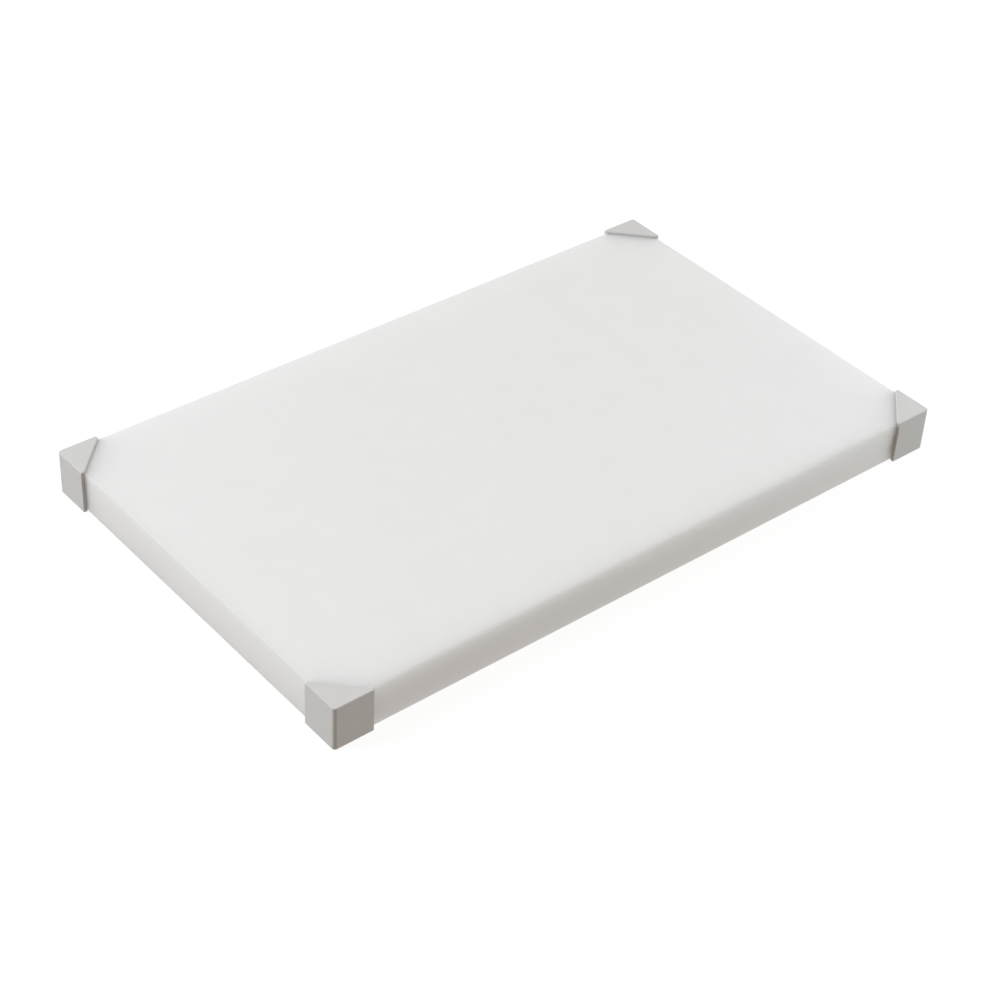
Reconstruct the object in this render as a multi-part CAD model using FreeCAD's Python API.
import FreeCAD, Part
import os

# A butcher's cutting board: one slab of white high-density polyethylene with a soft grey
# elastomer cap slipped over each of its four corners. Each cap has two walls that stand
# against the board's sides and two flanges, one over each face of the board, so the board
# stands on four caps whichever way up it lies. A cap pulls off outwards along the diagonal.
#
# Millimetres, +Z up. X runs along the board and Y across it, so the front is -Y and the
# left is -X. The origin is on the bench, under the middle of the board.

# The slab.
BOARD_LENGTH = 500.0
BOARD_WIDTH = 300.0
BOARD_THICKNESS = 30.0
BOARD_CORNER_RADIUS = 3.0
BOARD_EDGE_RADIUS = 0.5

# A corner cap, and the room that it leaves round the slab.
CAP_LEG = 29.2
CAP_WALL = 2.1
CAP_FLANGE = 1.3
SIDE_GAP = 0.4
FLANGE_GAP = 0.1
CAP_CORNER_RADIUS = 2.5
CAP_EDGE_RADIUS = 0.8
WALL_END_RADIUS = 0.3
POCKET_CORNER_RADIUS = 1.0

# Upright ribs on the inside of each wall, which grip the slab's side across the gap.
RIB_COUNT = 3
RIB_RADIUS = 0.8
RIB_FIRST = 9.0
RIB_PITCH = 7.0
RIB_CLEARANCE = 0.05

# The round mark that the mould's ejector pin leaves inside each flange.
EJECTOR_RADIUS = 2.5
EJECTOR_DEPTH = 0.2
EJECTOR_PLACE = 10.5

# Worked out from the dimensions above.
CAP_REACH = CAP_WALL + SIDE_GAP
CAP_HEIGHT = BOARD_THICKNESS + 2 * (CAP_FLANGE + FLANGE_GAP)
BOARD_BOTTOM = CAP_FLANGE + FLANGE_GAP
CORNER_X = BOARD_LENGTH / 2 + CAP_REACH
CORNER_Y = BOARD_WIDTH / 2 + CAP_REACH

# Each cap's corner of the board as signs of X and Y, and its turn about Z from the
# front-left corner, where the cap is drawn.
CORNERS = {
    "corner_cap_front_left": (-1, -1, 0),
    "corner_cap_front_right": (1, -1, 90),
    "corner_cap_back_right": (1, 1, 180),
    "corner_cap_back_left": (-1, 1, 270),
}

UP = FreeCAD.Vector(0, 0, 1)
TOLERANCE = 1e-4


def upright_edges(solid, places=None):
    """The straight vertical edges of a solid, or only those at the given (x, y) places."""
    found = []
    for edge in solid.Edges:
        start, end = (vertex.Point for vertex in (edge.Vertexes[0], edge.Vertexes[-1]))
        is_upright = abs((end - start).dot(UP)) > edge.Length - TOLERANCE
        here = (round(start.x, 3), round(start.y, 3))
        if is_upright and (places is None or here in places):
            found.append(edge)
    return found


def edges_at_height(solid, height):
    """The edges that lie flat at one height."""
    low = [edge for edge in solid.Edges if abs(edge.BoundBox.ZMin - height) < TOLERANCE]
    return [edge for edge in low if abs(edge.BoundBox.ZMax - height) < TOLERANCE]


def round_outline(solid, bottom, top, radius):
    """Rounds the outline of the solid's lower and upper faces."""
    return solid.makeFillet(radius, edges_at_height(solid, bottom) + edges_at_height(solid, top))


def make_board():
    """The slab: square to the eye, with its corners eased and every arris just broken."""
    corner = FreeCAD.Vector(-BOARD_LENGTH / 2, -BOARD_WIDTH / 2, BOARD_BOTTOM)
    slab = Part.makeBox(BOARD_LENGTH, BOARD_WIDTH, BOARD_THICKNESS, corner)
    slab = slab.makeFillet(BOARD_CORNER_RADIUS, upright_edges(slab))
    return round_outline(slab, BOARD_BOTTOM, BOARD_BOTTOM + BOARD_THICKNESS, BOARD_EDGE_RADIUS)


def cap_block():
    """The cap's outer shape: a right-angled prism, its sharp ends cut square to the walls."""
    outline = [(0, 0), (CAP_LEG, 0), (CAP_LEG, CAP_REACH), (CAP_REACH, CAP_LEG), (0, CAP_LEG)]
    corners = [FreeCAD.Vector(x, y, 0) for x, y in outline + outline[:1]]
    block = Part.Face(Part.makePolygon(corners)).extrude(UP * CAP_HEIGHT)
    block = block.makeFillet(CAP_CORNER_RADIUS, upright_edges(block, [(0, 0)]))
    wall_ends = [(CAP_LEG, 0), (0, CAP_LEG)]
    block = block.makeFillet(WALL_END_RADIUS, upright_edges(block, wall_ends))
    return round_outline(block, 0, CAP_HEIGHT, CAP_EDGE_RADIUS)


def cap_pocket():
    """The space for the board's corner, open towards the middle of the board."""
    corner = FreeCAD.Vector(CAP_WALL, CAP_WALL, CAP_FLANGE)
    height = CAP_HEIGHT - 2 * CAP_FLANGE
    space = Part.makeBox(CAP_LEG, CAP_LEG, height, corner)
    return space.makeFillet(POCKET_CORNER_RADIUS, upright_edges(space, [(CAP_WALL, CAP_WALL)]))


def grip_ribs():
    """Half-round ribs up the inside of both walls, reaching almost to the board."""
    inward = CAP_REACH - RIB_CLEARANCE - RIB_RADIUS
    height = CAP_HEIGHT - 2 * CAP_FLANGE
    ribs = []
    for step in range(RIB_COUNT):
        along = RIB_FIRST + step * RIB_PITCH
        for x, y in ((inward, along), (along, inward)):
            ribs.append(Part.makeCylinder(RIB_RADIUS, height, FreeCAD.Vector(x, y, CAP_FLANGE)))
    return ribs


def ejector_marks():
    """Two shallow discs, cut into the inner faces of the lower and upper flange."""
    marks = []
    for inner_face in (CAP_FLANGE - EJECTOR_DEPTH, CAP_HEIGHT - CAP_FLANGE):
        centre = FreeCAD.Vector(EJECTOR_PLACE, EJECTOR_PLACE, inner_face)
        marks.append(Part.makeCylinder(EJECTOR_RADIUS, EJECTOR_DEPTH, centre))
    return marks


def make_cap():
    """A cap with its outer corner on the Z axis and its legs along +X and +Y."""
    shell = cap_block().cut(cap_pocket())
    shell = shell.fuse(grip_ribs()).removeSplitter()
    return shell.cut(ejector_marks())


def place_cap(cap, side_x, side_y, turn):
    """A copy of the cap, turned and moved to its corner of the board."""
    placed = cap.copy()
    placed.rotate(FreeCAD.Vector(0, 0, 0), UP, turn)
    placed.translate(FreeCAD.Vector(side_x * CORNER_X, side_y * CORNER_Y, 0))
    return placed


def save(node, shape):
    """Checks that a node is one sound solid, and writes it."""
    if len(shape.Solids) != 1 or not shape.isValid():
        raise ValueError(f"{node} isn't one sound solid")
    solid = shape.Solids[0]
    box = solid.optimalBoundingBox(False, False)
    size = f"{box.XLength:.1f} x {box.YLength:.1f} x {box.ZLength:.1f} mm"
    print(f"{node}: {size}, {solid.Volume / 1000:.2f} cm3")
    solid.exportStep(f"parts/{node}.step")


os.makedirs("parts", exist_ok=True)
save("board", make_board())
cap = make_cap()
for node, (side_x, side_y, turn) in CORNERS.items():
    save(node, place_cap(cap, side_x, side_y, turn))
